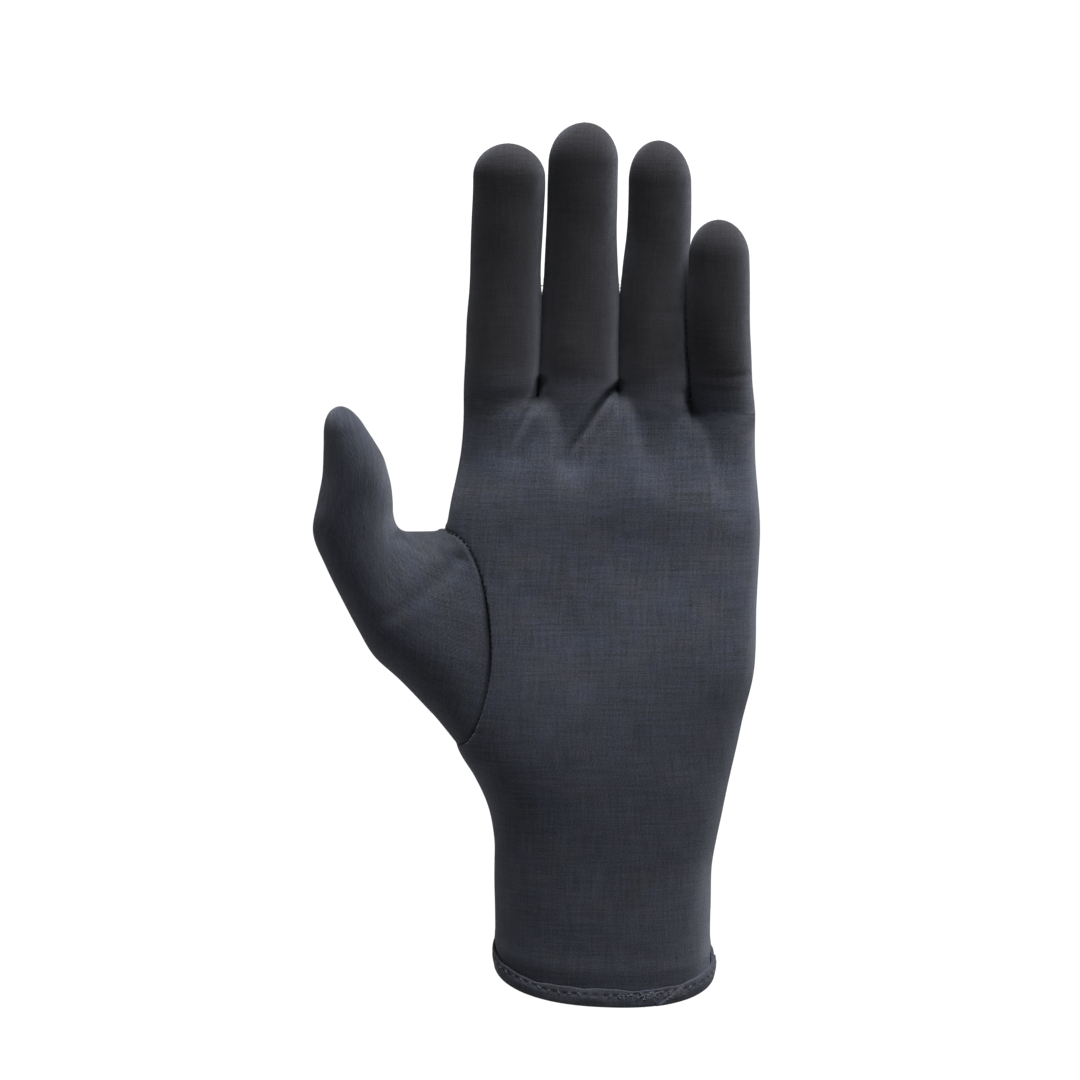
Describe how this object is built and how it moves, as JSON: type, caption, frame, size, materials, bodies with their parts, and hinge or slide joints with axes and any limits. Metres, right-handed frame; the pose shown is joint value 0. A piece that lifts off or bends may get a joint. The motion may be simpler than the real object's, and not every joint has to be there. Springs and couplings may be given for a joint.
{
  "type": "glove liner",
  "caption": "Thin knitted glove liner for the left hand with separate fingers, a set-in thumb and a folded binding around the wrist edge.",
  "frame": {"origin": "middle of the wrist opening, level with the sides of its edge", "axes": "+Z along the hand towards the fingertips, -Y out of the palm, +X towards the little finger"},
  "size_m": [0.1279, 0.0453, 0.2522],
  "materials": {
    "liner_knit": "fine dark charcoal jersey knit, faintly mottled blue and brown, matte with a soft sheen",
    "binding_knit": "the same charcoal knit, folded over the wrist edge and stitched through"
  },
  "bodies": {
    "root": {"palm_panel": "liner_knit", "back_panel": "liner_knit", "thumb_piece": "liner_knit", "wrist_binding": "binding_knit"}
  },
  "joints": []
}
